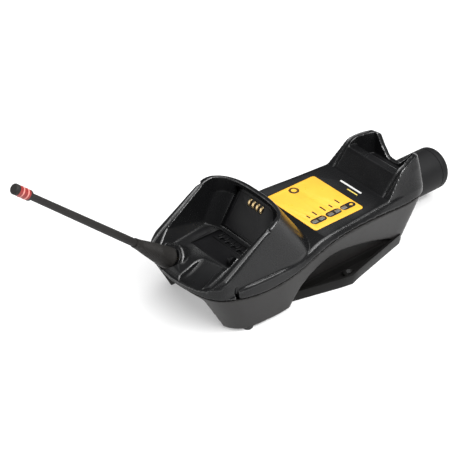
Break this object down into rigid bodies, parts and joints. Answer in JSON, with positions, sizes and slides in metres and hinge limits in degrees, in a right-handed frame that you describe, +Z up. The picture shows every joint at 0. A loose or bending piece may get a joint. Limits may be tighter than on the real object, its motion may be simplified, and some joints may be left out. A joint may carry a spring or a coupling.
{
  "type": "radio base station and charging cradle",
  "caption": "Desk cradle and radio base for a cordless handheld reader, with a long whip antenna, a charging slot for a spare battery and a bracket that screws to a desk or wall.",
  "frame": {"origin": "on the desk, on the underside of the mounting bracket, under the body's centre line", "axes": "+X from the antenna end to the spare battery end, +Y to the antenna's side, +Z up"},
  "size_m": [0.4064, 0.1088, 0.1636],
  "materials": {
    "top_shell": "satin black moulding",
    "lower_shell": "satin dark grey moulding",
    "black_insert": "matt black moulding",
    "antenna_rubber": "matt rubber",
    "battery_cover": "matt, finely grained",
    "contact_gold": "gold plated",
    "screw_steel": "plated",
    "yellow_label": "printed overlay",
    "yellow_button": "satin",
    "window_grey": "clouded lens",
    "red_cap": "satin red",
    "red_pale": "satin pale red",
    "circuit_board": "green solder mask",
    "steel_can": "tinned",
    "clear_plastic": "clear",
    "white_plastic": "white"
  },
  "bodies": {
    "base": {"top_housing": "top_shell", "bottom_housing": "lower_shell", "mounting_bracket": "lower_shell", "cup_floor_insert": "black_insert", "cup_clip": "black_insert", "contact_panel": "black_insert", "contact_carrier": "white_plastic", "label_overlay": "yellow_label", "indicator_window_1": "window_grey", "indicator_window_2": "window_grey", "indicator_window_3": "window_grey", "indicator_window_4": "window_grey", "indicator_window_5": "window_grey", "main_board": "circuit_board", "radio_module": "steel_can", "button_switch": "black_insert", "status_led_1": "white_plastic", "status_led_2": "white_plastic", "status_led_3": "white_plastic", "status_led_4": "white_plastic", "status_led_5": "white_plastic", "light_guide": "clear_plastic", "buzzer": "black_insert", "host_socket": "black_insert", "power_socket": "black_insert", "antenna_seat": "black_insert", "antenna_jack": "contact_gold", "antenna_coax": "black_insert", "battery_sleeve": "lower_shell", "battery_slot_contacts": "contact_gold", "front_foot_left": "antenna_rubber", "front_foot_right": "antenna_rubber", "housing_screw_1": "screw_steel", "housing_screw_2": "screw_steel", "housing_screw_3": "screw_steel", "housing_screw_4": "screw_steel", "bracket_screw_1": "screw_steel", "bracket_screw_2": "screw_steel"},
    "antenna": {"antenna_boot": "antenna_rubber", "antenna_whip": "antenna_rubber", "antenna_tip_cap": "red_cap", "antenna_band_1": "red_pale", "antenna_band_2": "red_pale"},
    "spare_battery": {"spare_battery_case": "battery_cover", "spare_battery_end_cap": "battery_cover", "spare_battery_terminals": "contact_gold"},
    "page_button": {"page_button": "yellow_button"},
    "contact_1": {"charge_contact_1": "contact_gold"},
    "contact_2": {"charge_contact_2": "contact_gold"},
    "contact_3": {"charge_contact_3": "contact_gold"},
    "contact_4": {"charge_contact_4": "contact_gold"}
  },
  "joints": [
    {"name": "antenna_turn", "type": "hinge", "parent": "base", "child": "antenna", "pos_m": [-0.095, 0.018, 0.0435], "axis": [-0.7361, 0, 0.6769], "continuous": true},
    {"name": "battery_draw", "type": "slide", "parent": "base", "child": "spare_battery", "axis": [1, 0, 0], "range_m": [0, 0.045]},
    {"name": "page_button_press", "type": "slide", "parent": "base", "child": "page_button", "axis": [0, 0, -1], "range_m": [0, 0.0005], "stiffness_N_per_m": 1500},
    {"name": "contact_1_press", "type": "slide", "parent": "base", "child": "contact_1", "axis": [0.8526, 0, -0.5225], "range_m": [0, 0.0008], "stiffness_N_per_m": 400},
    {"name": "contact_2_press", "type": "slide", "parent": "base", "child": "contact_2", "axis": [0.8526, 0, -0.5225], "range_m": [0, 0.0008], "stiffness_N_per_m": 400},
    {"name": "contact_3_press", "type": "slide", "parent": "base", "child": "contact_3", "axis": [0.8526, 0, -0.5225], "range_m": [0, 0.0008], "stiffness_N_per_m": 400},
    {"name": "contact_4_press", "type": "slide", "parent": "base", "child": "contact_4", "axis": [0.8526, 0, -0.5225], "range_m": [0, 0.0008], "stiffness_N_per_m": 400}
  ]
}
